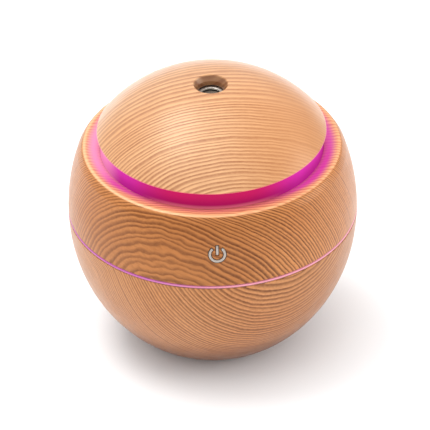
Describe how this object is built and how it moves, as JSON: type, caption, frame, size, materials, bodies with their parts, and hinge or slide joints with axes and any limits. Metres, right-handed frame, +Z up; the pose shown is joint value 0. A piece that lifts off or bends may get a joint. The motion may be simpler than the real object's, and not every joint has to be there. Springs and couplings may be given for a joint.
{
  "type": "essential oil diffuser",
  "caption": "Ball-shaped ultrasonic oil diffuser with a wood finish: a water tank below and a lift-off head with a glowing ring, a mist hole and a touch key.",
  "frame": {"origin": "under the ball's centre, on the surface the foot stands on", "axes": "+Z up, -Y towards the touch key, +Y towards the USB inlet"},
  "size_m": [0.1, 0.1, 0.1008],
  "materials": {
    "wood_look": "semi-gloss wood-grain film",
    "frosted_glow": "frosted, lit pink from inside",
    "white_plastic": "fine matte",
    "silicone": "translucent matte",
    "rubber": "matte",
    "steel": "satin",
    "chrome": "bright",
    "aluminium": "satin",
    "ceramic": "fired ceramic",
    "board_green": "solder mask",
    "black_plastic": "fine matte",
    "led_white": "lens",
    "wick_fibre": "pressed fibre",
    "red_lead": "insulation",
    "black_lead": "insulation"
  },
  "bodies": {
    "tank": {"lower_shell": "wood_look", "foot_ring": "rubber"},
    "seal_carrier": {"tank_seal": "silicone"},
    "head": {"upper_shell": "wood_look", "dome_cover": "wood_look", "light_ring": "frosted_glow", "seam_light_ring": "frosted_glow", "power_icon_ring": "chrome", "power_icon_bar": "chrome", "head_base": "white_plastic", "atomizer_tower": "white_plastic", "atomizer_disc": "steel", "piezo_ring": "ceramic", "disc_grommet": "silicone", "disc_trim_ring": "chrome", "piezo_lead_red": "red_lead", "piezo_lead_black": "black_lead", "main_board": "board_green", "led_1": "led_white", "led_2": "led_white", "led_3": "led_white", "led_4": "led_white", "led_5": "led_white", "led_6": "led_white", "driver_chip": "black_plastic", "power_inductor": "black_plastic", "capacitor": "aluminium", "usb_socket": "steel", "touch_board": "board_green", "touch_spring": "steel", "base_screw_1": "steel", "base_screw_2": "steel", "base_screw_3": "steel", "board_screw_1": "steel", "board_screw_2": "steel", "board_screw_3": "steel"},
    "holder": {"wick_holder": "white_plastic", "holder_gasket": "silicone", "wick_spring": "steel"},
    "wick_slide": {"wick": "wick_fibre"}
  },
  "joints": [
    {"name": "head_lift", "type": "slide", "parent": "tank", "child": "seal_carrier", "axis": [0, 0, 1], "range_m": [0, 0.07]},
    {"name": "head_twist", "type": "hinge", "parent": "seal_carrier", "child": "head", "pos_m": [0, 0, 0.051], "axis": [0, 0, 1], "range_deg": [-40, 0]},
    {"name": "wick_holder_twist", "type": "hinge", "parent": "head", "child": "holder", "pos_m": [0, 0, 0.0465], "axis": [0, 0, 1], "range_deg": [0, 75]},
    {"name": "wick_press", "type": "slide", "parent": "holder", "child": "wick_slide", "axis": [0, 0, 1], "range_m": [-0.004, 0], "stiffness_N_per_m": 70, "springref_m": 0.004, "deforming": ["wick_spring"]}
  ]
}
